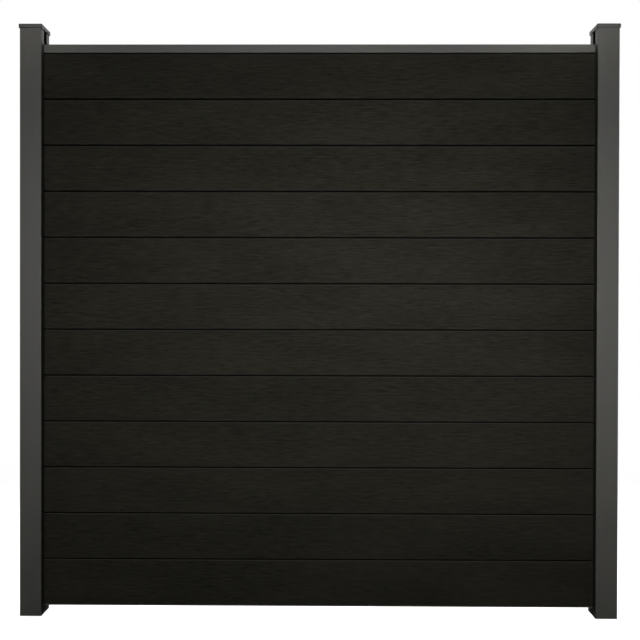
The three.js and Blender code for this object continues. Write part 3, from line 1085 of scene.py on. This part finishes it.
@dataclass(frozen=True)
class Post:
    """A square extruded post with a slot in both sides, chambers and screw ports."""

    side: Side
    width: float = 70 * MM
    centre: float = 930.5 * MM
    height: float = 1901.5 * MM
    wall: float = 2 * MM
    corner: float = 2 * MM
    slot_width: float = 22 * MM
    slot_depth: float = 20 * MM
    slot_mouth: float = 0.8 * MM
    chamber_corner: float = 1 * MM
    snap_setback: float = 5 * MM
    snap_width: float = 2.4 * MM
    snap_depth: float = 0.9 * MM
    port_bore: float = 2.1 * MM
    port_wall: float = 1.6 * MM
    port_inset: float = 3.1 * MM
    port_mouth: float = 1.6 * MM
    port_steps: int = 22
    screw_setback: float = 8 * MM
    screw_level: float = 1848.3 * MM
    screw_hole: float = 2.4 * MM
    broken_edge: float = 0.25 * MM

    @property
    def x(self) -> float:
        """Where the post's middle is along X."""
        return self.side.value * self.centre

    @property
    def screw_x(self) -> float:
        """Where the rail's screw goes through the post, along X."""
        return self.x - self.side.value * (self.width / 2 - self.screw_setback)

    @property
    def start(self) -> Vector:
        """Where the post's section stands on the ground."""
        return Vector((self.x, 0, 0))

    def slot(self) -> Rect:
        """The slot on the +u side."""
        half = self.slot_width / 2
        return Rect(self.width / 2 - self.slot_depth, self.width / 2, -half, half)

    def chambers(self) -> tuple[Rect, Rect, Rect]:
        """The chambers of the post's section.

        Returns:
            The middle chamber, the back one and the front one.
        """
        half, slot_half = self.width / 2, self.slot_width / 2
        middle_half = half - self.slot_depth - self.wall
        back = Rect(-half + self.wall, half - self.wall, slot_half + self.wall, half - self.wall)
        return Rect(-middle_half, middle_half, -slot_half, slot_half), back, back.flipped_v()

    def section(self) -> Section:
        """The post's section.

        Returns:
            The section about the post's own middle.
        """
        half, slot = self.width / 2, self.slot()
        groove_right = half - self.snap_setback
        groove = Rect(groove_right - self.snap_width, groove_right, slot.high, slot.high + self.snap_depth)
        snaps = (groove, groove.flipped_v(), groove.flipped_u(), groove.flipped_u().flipped_v())
        outer = Rect(-half, half, -half, half)
        side_corners = tuple(c for r in self.chambers()[1:] for c in r.corners)
        mouths = tuple((u, v) for u in (-half, half) for v in (slot.low, slot.high))
        floors = tuple((u, v) for u in (-slot.left, slot.left) for v in (slot.low, slot.high))
        return Section(
            outer,
            (slot, slot.flipped_u(), *self.chambers(), *snaps),
            (
                Rounding(self.corner, 6, outer.corners),
                Rounding(self.slot_mouth, 3, mouths),
                Rounding(self.chamber_corner, 3, floors + side_corners),
            ),
        )

    def screw_port(self, sign_u: int, sign_v: int) -> Workpiece:
        """A C-shaped port in one corner of the middle chamber, spun from a strip.

        Args:
            sign_u: The corner's side in u.
            sign_v: The corner's side in v.

        Returns:
            The port, as long as the post.
        """
        chamber = self.chambers()[0]
        u, v = chamber.right - self.port_inset, chamber.high - self.port_inset
        middle = self.start + Vector((sign_u * u, sign_v * v, 0))
        gap = math.asin(self.port_mouth / 2 / self.port_bore)
        start = math.atan2(-sign_v, -sign_u) + gap
        radius = self.port_bore + self.port_wall / 2
        strip = Workpiece.primitive(
            "port", bpy.ops.mesh.primitive_plane_add, (self.port_wall, self.height, 1), size=1,
            location=middle + Vector((radius * math.cos(start), radius * math.sin(start), self.height / 2)),
            rotation=(math.pi / 2, 0, start),
        )
        with strip:
            strip.spin(self.port_steps, 2 * (math.pi - gap), middle, (0, 0, 1))
        return strip

    def screw_drill(self) -> Workpiece:
        """The drill that makes the hole for the rail's screw, from the slot to behind the post.

        Returns:
            The drill.
        """
        near, far = self.slot_width / 2 - self.wall, self.width / 2 + self.wall
        middle = (self.screw_x, (near + far) / 2, self.screw_level)
        return Workpiece.drill(middle, self.screw_hole, far - near)

    def build(self, finishes: Finishes) -> Obj:
        """Models and dresses the post.

        Args:
            finishes: The finishes to take from.

        Returns:
            The object.
        """
        name = f"post_{self.side.label}"
        piece = Workpiece.extruded(name, self.section(), Run.UP, self.start, self.height)
        for sign_u in (-1, 1):
            for sign_v in (-1, 1):
                piece.combine(self.screw_port(sign_u, sign_v), "UNION")
        piece.combine(self.screw_drill(), "DIFFERENCE")
        with piece:
            piece.join_flats()
        piece.break_long_edges(Run.UP, self.broken_edge)
        piece.paint(finishes.coat)
        slot = self.slot()
        # painted shade: the slot's walls and floor get a near-black coat so that the slot reads dark
        hidden = Rect(slot.left - MM, slot.right - self.slot_mouth, slot.low - MM, slot.high + MM)
        piece.paint_faces(finishes.primer, lambda centre, _: hidden.holds(abs(centre.x - self.x), centre.y))
        bare = [r.shrunk(-BARE_SKIN) for r in self.chambers()]

        def is_bare(centre: Vector, normal: Vector) -> bool:
            """True for the cut ends and for the walls of the chambers."""
            return abs(normal.z) > SQUARE_ON or any(r.holds(centre.x - self.x, centre.y) for r in bare)

        piece.paint_faces(finishes.sawn, is_bare)
        return piece.hand_over(f"{self.side.label}_post", Body.SCREEN, Slot.COATED)


@dataclass(frozen=True)
class SlotCover:
    """The strip snapped into a post's outer slot: a face with two legs and a bead on each."""

    post: Post
    clearance: float = 0.3 * MM
    face: float = 1.6 * MM
    leg: float = 1.4 * MM
    leg_length: float = 9 * MM
    bead_clearance: float = 0.25 * MM
    rim: float = 0.5 * MM
    bead: float = 0.6 * MM
    broken_edge: float = 0.15 * MM

    def section(self) -> Section:
        """The strip's section.

        Returns:
            The section about the post's middle, with its face on the +u side.
        """
        outside, slot = self.post.width / 2, self.post.slot()
        half = slot.high - self.clearance
        bead_top = slot.high + self.post.snap_depth - self.bead_clearance
        bead_right = outside - self.post.snap_setback - self.bead_clearance
        bead_left = bead_right - self.post.snap_width + 2 * self.bead_clearance
        left = outside - self.leg_length
        beside = (Rect(left, bead_left, half, bead_top), Rect(bead_right, outside, half, bead_top))
        between = Rect(left, outside - self.face, -half + self.leg, half - self.leg)
        beads = tuple((u, s * bead_top) for u in (bead_left, bead_right) for s in (-1, 1))
        rims = tuple((outside, s * half) for s in (-1, 1))
        return Section(
            Rect(left, outside, -bead_top, bead_top),
            (*beside, *(r.flipped_v() for r in beside), between),
            (Rounding(self.rim, 3, rims), Rounding(self.bead, 3, beads)),
        )

    def build(self, finishes: Finishes) -> Obj:
        """Models and dresses the strip.

        Args:
            finishes: The finishes to take from.

        Returns:
            The object.
        """
        label = self.post.side.label
        section = self.section().flipped_u() if self.post.side is Side.LEFT else self.section()
        piece = Workpiece.extruded(f"cover_{label}", section, Run.UP, self.post.start, self.post.height)
        piece.break_long_edges(Run.UP, self.broken_edge)
        piece.paint(finishes.coat)
        piece.paint_ends(finishes.sawn, Run.UP)
        return piece.hand_over(f"{label}_slot_cover", Body.SCREEN, Slot.COATED)


@dataclass(frozen=True)
class SlotSpacer:
    """The block in a post's inner slot that carries the bottom rail."""

    post: Post
    height: float = 26.2 * MM
    clearance: float = 0.3 * MM
    wall: float = 2.5 * MM
    corner: float = 0.8 * MM
    broken_edge: float = 0.3 * MM

    def section(self) -> Section:
        """The block's section.

        Returns:
            The section about the post's middle.
        """
        body = self.post.slot().shrunk(self.clearance)
        if self.post.side is Side.RIGHT:
            body = body.flipped_u()
        middle = body.middle[0]
        hollow = body.shrunk(self.wall)
        cores = (
            Rect(hollow.left, middle - self.wall / 2, hollow.low, hollow.high),
            Rect(middle + self.wall / 2, hollow.right, hollow.low, hollow.high),
        )
        corners = body.corners + tuple(c for core in cores for c in core.corners)
        return Section(body, cores, (Rounding(self.corner, 3, corners),))

    def build(self, finishes: Finishes) -> Obj:
        """Models and dresses the block.

        Args:
            finishes: The finishes to take from.

        Returns:
            The object.
        """
        label = self.post.side.label
        piece = Workpiece.extruded(f"spacer_{label}", self.section(), Run.UP, self.post.start, self.height)
        piece.break_all_edges(self.broken_edge)
        piece.paint(finishes.spacer)
        return piece.hand_over(f"{label}_slot_spacer", Body.SCREEN, Slot.SPACER)


@dataclass(frozen=True)
class PostCap:
    """A flat cap: a flange on the post's end, with two cored plugs under it."""

    post: Post
    seat: float = 0.3 * MM
    height: float = 12.5 * MM
    overhang: float = 3.2 * MM
    corner: float = 4 * MM
    bevel: float = 2.2 * MM
    lower_bevel: float = 0.8 * MM
    top_wall: float = 4 * MM
    plug_length: float = 18 * MM
    plug_wall: float = 1.8 * MM
    plug_clearance: float = 0.3 * MM
    plug_corner: float = 1 * MM
    broken_edge: float = 0.3 * MM

    @property
    def half(self) -> float:
        """Half of the flange's width."""
        return self.post.width / 2 + self.overhang

    @property
    def under(self) -> float:
        """The height of the flange's underside."""
        return self.post.height + self.seat

    @property
    def top(self) -> float:
        """The height of the flange's top."""
        return self.under + self.height

    def plugs(self) -> tuple[Rect, Rect]:
        """The outsides of the two plugs, about the post's middle."""
        back, front = self.post.chambers()[1:]
        return back.shrunk(self.plug_clearance), front.shrunk(self.plug_clearance)

    def pockets(self) -> tuple[Rect, Rect, Rect]:
        """The pockets cored into the cap from below.

        Returns:
            The middle pocket, the back one and the front one.
        """
        back, front = self.plugs()
        middle = self.post.chambers()[0]
        return middle.shrunk(self.plug_clearance), back.shrunk(self.plug_wall), front.shrunk(self.plug_wall)

    def build(self, finishes: Finishes) -> Obj:
        """Models and dresses the cap.

        Args:
            finishes: The finishes to take from.

        Returns:
            The object.
        """
        label, x = self.post.side.label, self.post.x
        piece = Workpiece.primitive(
            f"cap_{label}", bpy.ops.mesh.primitive_cube_add, (2 * self.half, 2 * self.half, self.height),
            size=1, location=(x, 0, (self.under + self.top) / 2),
        )
        with piece:
            for rect in (*self.plugs(), *self.pockets()):
                for u in (rect.left, rect.right):
                    piece.rule(Vector((x + u, 0, 0)), Vector((1, 0, 0)))
                for v in (rect.low, rect.high):
                    piece.rule(Vector((0, v, 0)), Vector((0, 1, 0)))
            piece.select_faces(self.is_plug_wall)
            piece.extrude((0, 0, -self.plug_length))
            piece.select_faces(lambda c, _: abs(c.z - self.under) < SAME and self.is_over(self.pockets(), c))
            piece.extrude((0, 0, self.height - self.top_wall))
            piece.join_flats()
            self.round_edges(piece)
        piece.break_all_edges(self.broken_edge)
        piece.paint(finishes.cap)
        body = Body.LEFT_CAP if self.post.side is Side.LEFT else Body.RIGHT_CAP
        return piece.hand_over(f"{label}_post_cap", body, Slot.CAP)

    def is_over(self, rects: Iterable[Rect], point: Vector) -> bool:
        """True if the point lies over one of the rectangles."""
        return any(r.holds(point.x - self.post.x, point.y) for r in rects)

    def is_plug_wall(self, centre: Vector, normal: Vector) -> bool:
        """True for a face of the underside that a plug's wall grows from."""
        inside = self.is_over(self.plugs(), centre) and not self.is_over(self.pockets(), centre)
        return inside and normal.z < -0.5

    def round_edges(self, piece: Workpiece) -> None:
        """Rounds the flange's corners and rims and the plugs' corners.

        Args:
            piece: The cap, in edit mode.
        """
        def upright(a: Vector, b: Vector) -> bool:
            """True for an edge that stands upright."""
            return (a - b).xy.length < SAME and abs(a.z - b.z) > 5 * MM

        def reach(p: Vector) -> float:
            """How far a point lies from the post's middle, across its nearest side."""
            return max(abs(p.x - self.post.x), abs(p.y))

        def at_rim(a: Vector, b: Vector, level: float) -> bool:
            """True for an edge of the flange's outline at a level."""
            flat = abs(a.z - level) < SAME and abs(b.z - level) < SAME
            return flat and reach((a + b) / 2) > self.half - self.corner / 2

        def at_corner(p: Vector) -> bool:
            """True for a point on one of the flange's four corners."""
            return min(abs(p.x - self.post.x), abs(p.y)) > self.half - SAME

        def on_plug(a: Vector, b: Vector) -> bool:
            """True for an edge of a plug."""
            return reach(a) < self.half - self.corner / 2 and min(a.z, b.z) < self.under - MM

        piece.select_edges(lambda a, b: upright(a, b) and at_corner(a))
        piece.bevel(self.corner, 7)
        piece.select_edges(lambda a, b: upright(a, b) and on_plug(a, b))
        piece.bevel(self.plug_corner, 3)
        piece.select_edges(lambda a, b: at_rim(a, b, self.top))
        piece.bevel(self.bevel, 3)
        piece.select_edges(lambda a, b: at_rim(a, b, self.under))
        piece.bevel(self.lower_bevel, 2)


@dataclass(frozen=True)
class RailScrew:
    """A pan-head screw with a six-lobed recess, through the back of a post into the top rail."""

    post: Post
    shank: float = 2.1 * MM
    length: float = 32 * MM
    tip: float = 5 * MM
    head: float = 4 * MM
    head_height: float = 2.6 * MM
    rim: float = 1.2 * MM
    crown_steps: int = 5
    seat: float = 0.3 * MM
    steps: int = 36
    lobes: int = 6
    lobe_outer: float = 1.9 * MM
    lobe_inner: float = 1.35 * MM
    recess: float = 1.6 * MM
    broken_edge: float = 0.12 * MM

    def half_profile(self) -> tuple[Point, ...]:
        """The screw's outline on one side of its axis.

        Returns:
            Radius and distance from the seat, from the tip to the middle of the head.
        """
        turns = [i * math.pi / 2 / self.crown_steps for i in range(self.crown_steps)]
        dome = self.head_height - self.rim
        crown = [(self.head * math.cos(a), self.rim + dome * math.sin(a)) for a in turns]
        return (
            (0.0, -self.length), (self.shank, self.tip - self.length), (self.shank, 0.0),
            (self.head, 0.0), *crown, (0.0, self.head_height),
        )

    def build(self, finishes: Finishes) -> Obj:
        """Models and dresses the screw.

        Args:
            finishes: The finishes to take from.

        Returns:
            The object.
        """
        label = self.post.side.label
        seat = Vector((self.post.screw_x, self.post.width / 2 + self.seat, self.post.screw_level))
        profile = self.half_profile()
        piece = Workpiece.primitive(
            f"screw_{label}", bpy.ops.mesh.primitive_plane_add,
            size=self.shank, location=seat - Vector((0, self.length, 0)),
        )
        with piece:
            piece.select_all()
            bpy.ops.mesh.merge(type="CENTER")
            for (r0, h0), (r1, h1) in zip(profile, profile[1:]):
                piece.extrude((r1 - r0, h1 - h0, 0))
            piece.spin(self.steps, 2 * math.pi, seat, (0, 1, 0))
        piece.combine(self.driver(seat + Vector((0, self.head_height, 0))), "DIFFERENCE")
        piece.break_all_edges(self.broken_edge)
        piece.paint(finishes.steel)
        return piece.hand_over(f"{label}_rail_screw", Body.SCREEN, Slot.SCREW)

    def driver(self, crown: Vector) -> Workpiece:
        """The six-lobed tool that leaves the recess.

        Args:
            crown: The middle of the head's top.

        Returns:
            The tool.
        """
        floor = crown - Vector((0, self.recess, 0))
        tool = Workpiece.primitive(
            "driver", bpy.ops.mesh.primitive_circle_add, vertices=2 * self.lobes, radius=self.lobe_outer,
            fill_type="NGON", location=floor, rotation=(-math.pi / 2, 0, 0),
        )
        ratio = self.lobe_inner / self.lobe_outer
        with tool:
            mesh = bmesh.from_edit_mesh(tool.obj.data)
            for index, vertex in enumerate(mesh.verts):
                vertex.select_set(index % 2 == 0)
            bmesh.update_edit_mesh(tool.obj.data)
            bpy.ops.transform.resize(value=(ratio, 1, ratio), center_override=floor)
            tool.select_all()
            tool.extrude((0, 2 * self.recess, 0))
            tool.select_all()
            bpy.ops.mesh.normals_make_consistent(inside=False)
        return tool


# ---------------------------------------------------------------- boards and rails


@dataclass(frozen=True)
class BoardStack:
    """Twelve equal hollow-chamber boards, tongue up and groove down."""

    count: int = 12
    pitch: float = 150 * MM
    bottom: float = 30.3 * MM
    length: float = 1820 * MM
    thickness: float = 20 * MM
    wall: float = 4 * MM
    web: float = 4 * MM
    chamber_count: int = 5
    chamber_corner: float = 2 * MM
    groove_width: float = 8 * MM
    groove_depth: float = 9 * MM
    tongue_width: float = 7.4 * MM
    tongue_height: float = 8 * MM
    tongue_corner: float = 0.8 * MM
    seat_width: float = 12 * MM
    seat: float = 0.3 * MM
    shadow_gap: float = 3.5 * MM
    top_chamfer: float = 3 * MM
    bottom_chamfer: float = 1 * MM
    broken_edge: float = 0.35 * MM

    @property
    def start(self) -> Vector:
        """Where the lowest board's section starts."""
        return Vector((-self.length / 2, 0, self.bottom))

    @property
    def groove(self) -> Rect:
        """The groove, from the underside of a board or of the top rail."""
        return Rect(-self.groove_width / 2, self.groove_width / 2, 0, self.groove_depth)

    def chambers(self) -> tuple[Rect, ...]:
        """The hollow chambers of a board.

        Returns:
            The chambers, from the lowest up.
        """
        half = self.thickness / 2 - self.wall
        low = self.groove_depth + self.wall
        high = self.pitch - self.shadow_gap - self.wall
        step = (high - low + self.web) / self.chamber_count
        floors = (low + i * step for i in range(self.chamber_count))
        return tuple(Rect(-half, half, floor, floor + step - self.web) for floor in floors)

    def section(self) -> Section:
        """A board's section.

        Returns:
            The section, where u is the board's depth and v its height.
        """
        face, shoulder = self.thickness / 2, self.pitch - self.shadow_gap
        seat = self.pitch - self.seat
        top = seat + self.tongue_height
        over_shoulder = Rect(self.seat_width / 2, face, shoulder, top)
        over_seat = Rect(self.tongue_width / 2, self.seat_width / 2, seat, top)
        chambers = self.chambers()
        tongue_and_roots = ((self.tongue_width / 2, top), (self.groove_width / 2, self.groove_depth))
        return Section(
            Rect(-face, face, 0, top),
            (
                self.groove, over_shoulder, over_shoulder.flipped_u(),
                over_seat, over_seat.flipped_u(), *chambers,
            ),
            (
                Rounding(self.top_chamfer, 1, on_both_sides((face, shoulder))),
                Rounding(self.bottom_chamfer, 1, on_both_sides((face, 0.0))),
                Rounding(self.tongue_corner, 2, on_both_sides(*tongue_and_roots)),
                Rounding(self.chamber_corner, 4, tuple(c for r in chambers for c in r.corners)),
            ),
        )

    def build(self, finishes: Finishes) -> list[Obj]:
        """Models one board, dresses it and copies it up the stack.

        Args:
            finishes: The finishes to take from.

        Returns:
            The boards, from the lowest up.
        """
        first = Workpiece.extruded("plank_01", self.section(), Run.ALONG, self.start, self.length)
        first.break_long_edges(Run.ALONG, self.broken_edge)
        first.paint(finishes.board)
        end, brushed = self.length / 2, self.thickness / 2 - self.top_chamfer
        inside = [r.shrunk(-BARE_SKIN) for r in self.chambers()]

        def is_joint_shade(centre: Vector, normal: Vector) -> bool:
            """True for the faces of the joint and the lower chamfer, which get the near-black painted shade.
            """
            return abs(centre.y) < brushed or normal.z < -0.1

        def is_core(centre: Vector, normal: Vector) -> bool:
            """True for the sawn ends and for the walls of the chambers."""
            sawn = abs(normal.x) > SQUARE_ON and abs(centre.x) > end - MM
            return sawn or any(r.holds(centre.y, centre.z - self.bottom) for r in inside)

        # painted shade: the shadow gap and the downward chamfer are made near-black
        first.paint_faces(finishes.board_skin, is_joint_shade)
        first.paint_faces(finishes.board_core, is_core)
        pieces = [first]
        for i in range(1, self.count):
            pieces.append(first.moved_copy(f"plank_{i + 1:02d}", Vector((0, 0, i * self.pitch))))
        return [
            piece.hand_over(f"board_{i:02d}", Body.SCREEN, Slot.BOARD) for i, piece in enumerate(pieces, 1)
        ]


@dataclass(frozen=True)
class BottomRail:
    """The starting rail: a flat base with two fins that stand in the lowest board's groove."""

    boards: BoardStack
    ground_gap: float = 26.5 * MM
    base: float = 3.5 * MM
    fin: float = 1.5 * MM
    corner: float = 0.8 * MM
    broken_edge: float = 0.15 * MM

    def section(self) -> Section:
        """The rail's section.

        Returns:
            The section, where u is the rail's depth and v its height.
        """
        face, outer = self.boards.thickness / 2, self.boards.tongue_width / 2
        top = self.base + self.boards.tongue_height
        beside = Rect(outer, face, self.base, top)
        between = Rect(self.fin - outer, outer - self.fin, self.base, top)
        return Section(
            Rect(-face, face, 0, top),
            (beside, beside.flipped_u(), between),
            (Rounding(self.corner, 3, on_both_sides((face, 0.0), (face, self.base))),),
        )

    def build(self, finishes: Finishes) -> Obj:
        """Models and dresses the rail.

        Args:
            finishes: The finishes to take from.

        Returns:
            The object.
        """
        length = self.boards.length
        start = Vector((-length / 2, 0, self.ground_gap))
        piece = Workpiece.extruded("rail_bottom", self.section(), Run.ALONG, start, length)
        piece.break_long_edges(Run.ALONG, self.broken_edge)
        piece.paint(finishes.coat)
        piece.paint_ends(finishes.sawn, Run.ALONG)
        return piece.hand_over("bottom_rail", Body.SCREEN, Slot.COATED)


@dataclass(frozen=True)
class TopRail:
    """The finishing rail: a thin-walled box over a groove for the top board's tongue."""

    boards: BoardStack
    height: float = 27 * MM
    wall: float = 1.8 * MM
    corner: float = 1.6 * MM
    inner_corner: float = 0.6 * MM
    root_corner: float = 0.8 * MM
    screw_x: float = 903.5 * MM
    screw_height: float = 18 * MM
    screw_hole: float = 2.4 * MM
    broken_edge: float = 0.2 * MM

    @property
    def start(self) -> Vector:
        """Where the rail's section starts, on the top board."""
        return self.boards.start + Vector((0, 0, self.boards.count * self.boards.pitch))

    def section(self) -> Section:
        """The rail's section.

        Returns:
            The section, where u is the rail's depth and v its height.
        """
        face, groove = self.boards.thickness / 2, self.boards.groove
        over = Rect(self.wall - face, face - self.wall, groove.high + self.wall, self.height - self.wall)
        beside = Rect(groove.right + self.wall, over.right, self.wall, over.low)
        return Section(
            Rect(-face, face, 0, self.height),
            (groove, over, beside, beside.flipped_u()),
            (
                Rounding(self.corner, 5, on_both_sides((face, self.height))),
                Rounding(self.inner_corner, 2, on_both_sides((over.right, over.high))),
                Rounding(self.root_corner, 2, on_both_sides((groove.right, groove.high))),
            ),
        )

    def build(self, finishes: Finishes) -> Obj:
        """Models and dresses the rail.

        Args:
            finishes: The finishes to take from.

        Returns:
            The object.
        """
        piece = Workpiece.extruded("rail_top", self.section(), Run.ALONG, self.start, self.boards.length)
        for side in Side:
            place = (side.value * self.screw_x, self.boards.thickness / 2, self.start.z + self.screw_height)
            piece.combine(Workpiece.drill(place, self.screw_hole, 2 * self.wall), "DIFFERENCE")
        with piece:
            piece.join_flats()
        piece.break_long_edges(Run.ALONG, self.broken_edge)
        piece.paint(finishes.coat)
        piece.paint_ends(finishes.sawn, Run.ALONG)
        return piece.hand_over("top_rail", Body.SCREEN, Slot.COATED)


# ---------------------------------------------------------------- studio


@dataclass(frozen=True)
class Softbox:
    """A soft lamp that faces a point."""

    name: str
    place: Place
    target: Place
    width: float
    height: float
    watts: float
    spread: float = 180.0

    def build(self) -> Obj:
        """Hangs the lamp.

        Returns:
            The lamp.
        """
        lamp = bpy.data.lights.new(self.name, "AREA")
        lamp.shape, lamp.size, lamp.size_y = "RECTANGLE", self.width, self.height
        lamp.energy = self.watts
        lamp.spread = math.radians(self.spread)
        obj = bpy.data.objects.new(self.name, lamp)
        bpy.context.scene.collection.objects.link(obj)
        obj.location = self.place
        obj.rotation_mode = "QUATERNION"
        obj.rotation_quaternion = (Vector(self.target) - Vector(self.place)).to_track_quat("-Z", "Y")
        obj.visible_camera = False
        return obj


@dataclass(frozen=True)
class Studio:
    """The pale floor, the soft lamps, the white surroundings and the camera."""

    floor_size: float = 8.0
    floor_cuts: int = 7
    ambient: float = 0.02
    camera_place: Place = (0.0225, -2.430, 0.975)
    camera_pitch: float = -0.33
    camera_yaw: float = -0.407
    camera_roll: float = 0.133
    focal_pixels: float = 743.0
    frame_pixels: float = 640.0
    sensor_width: float = 36.0
    nearest: float = 0.01
    farthest: float = 100.0
    lamps: tuple[Softbox, ...] = (
        Softbox("front", (0.0, -9.0, 2.1), (0.0, 0.0, 0.95), 1.6, 1.0, 16.2, 40.0),
        Softbox("front_left", (-2.0, -9.0, 2.1), (-0.6, 0.0, 1.0), 0.8, 1.0, 2.4, 18.0),
        Softbox("front_right", (2.0, -9.0, 2.1), (0.6, 0.0, 1.0), 0.8, 1.0, 1.5, 18.0),
        Softbox("high", (0.0, -9.0, 4.0), (0.1, 0.0, 1.45), 2.0, 0.8, 2.3, 40.0),
        Softbox("middle", (0.3, -4.6, 1.6), (0.38, 0.0, 1.30), 1.0, 1.0, 1.8, 25.0),
        Softbox("right_top", (0.9, -4.6, 1.9), (0.80, 0.0, 2.10), 0.3, 0.2, 0.72, 10.0),
        Softbox("left_top", (-0.9, -4.6, 1.9), (-0.95, 0.0, 2.10), 0.3, 0.2, 0.42, 10.0),
        Softbox("right_foot", (0.6, -4.6, 1.0), (0.9, 0.0, 0.6), 0.8, 0.8, 0.75, 25.0),
        Softbox("over", (0.0, 0.3, 3.4), (0.0, 0.0, 0.8), 2.6, 0.8, 14.0),
        Softbox("side_left", (-4.0, 0.3, 2.15), (-0.9, 0.0, 0.9), 0.6, 0.4, 9.0, 80.0),
        Softbox("side_right", (4.0, 0.3, 2.15), (0.9, 0.0, 0.9), 0.6, 0.4, 9.0, 80.0),
        Softbox("rear", (0.0, 4.6, 1.6), (0.0, 0.0, 1.0), 1.6, 1.0, 28.0, 70.0),
        Softbox("rim", (0.0, 2.6, 2.85), (0.0, 0.0, 1.88), 1.2, 0.5, 5.0),
    )

    def build(self) -> None:
        """Sets everything up round the screen."""
        self.floor()
        self.surroundings()
        for lamp in self.lamps:
            lamp.build()
        self.camera()
        bpy.context.scene.view_settings.view_transform = "Standard"

    def floor(self) -> Obj:
        """Lays the floor.

        Returns:
            The sheet of paper.
        """
        half = self.floor_size / 2
        paper = Workpiece.sheet("floor", Rect(-half, half, -half, half), Run.UP)
        with paper:
            paper.select_all()
            bpy.ops.mesh.subdivide(number_cuts=self.floor_cuts)
        paper.paint(StudioPaper().material())
        paper.obj.visible_diffuse = paper.obj.visible_glossy = False
        return paper.obj

    def surroundings(self) -> None:
        """White to the camera, and dim to everything else, so that the lamps shape the light."""
        world = bpy.data.worlds.new("surroundings")
        world.use_nodes = True
        tree = world.node_tree
        tree.nodes.clear()
        mix, output = tree.nodes.new("ShaderNodeMixShader"), tree.nodes.new("ShaderNodeOutputWorld")
        for end, strength in ((1, self.ambient), (2, 1.0)):
            white = tree.nodes.new("ShaderNodeBackground")
            white.inputs["Color"].default_value = (1, 1, 1, 1)
            white.inputs["Strength"].default_value = strength
            tree.links.new(white.outputs[0], mix.inputs[end])
        path = tree.nodes.new("ShaderNodeLightPath")
        tree.links.new(path.outputs["Is Camera Ray"], mix.inputs[0])
        tree.links.new(mix.outputs[0], output.inputs["Surface"])
        bpy.context.scene.world = world

    def camera(self) -> Obj:
        """Places the camera where the photograph was taken from.

        Returns:
            The camera.
        """
        pitch, yaw, roll = (math.radians(a) for a in (self.camera_pitch, self.camera_yaw, self.camera_roll))
        ahead = Vector((math.sin(yaw) * math.cos(pitch), math.cos(yaw) * math.cos(pitch), math.sin(pitch)))
        right = Vector((math.cos(yaw), -math.sin(yaw), 0.0))
        up = right.cross(ahead)
        across = math.cos(roll) * right + math.sin(roll) * up
        upward = math.cos(roll) * up - math.sin(roll) * right
        data = bpy.data.cameras.new("camera")
        data.sensor_width = self.sensor_width
        data.lens = self.focal_pixels / self.frame_pixels * self.sensor_width
        data.clip_start, data.clip_end = self.nearest, self.farthest
        obj = bpy.data.objects.new("camera", data)
        bpy.context.scene.collection.objects.link(obj)
        turned = Matrix((across, upward, -ahead)).transposed().to_4x4()
        obj.matrix_world = Matrix.Translation(self.camera_place) @ turned
        bpy.context.scene.camera = obj
        return obj


def main() -> None:
    """Builds the screen piece by piece, then the studio round it."""
    logging.basicConfig(level=logging.INFO, format="%(name)s: %(message)s")
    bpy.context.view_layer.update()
    finishes = Finishes.mixed()
    for side in Side:
        post = Post(side)
        for piece in (post, SlotCover(post), SlotSpacer(post), PostCap(post), RailScrew(post)):
            piece.build(finishes)
    boards = BoardStack()
    for piece in (boards, BottomRail(boards), TopRail(boards)):
        piece.build(finishes)
    Studio().build()


if __name__ == "__main__":
    main()
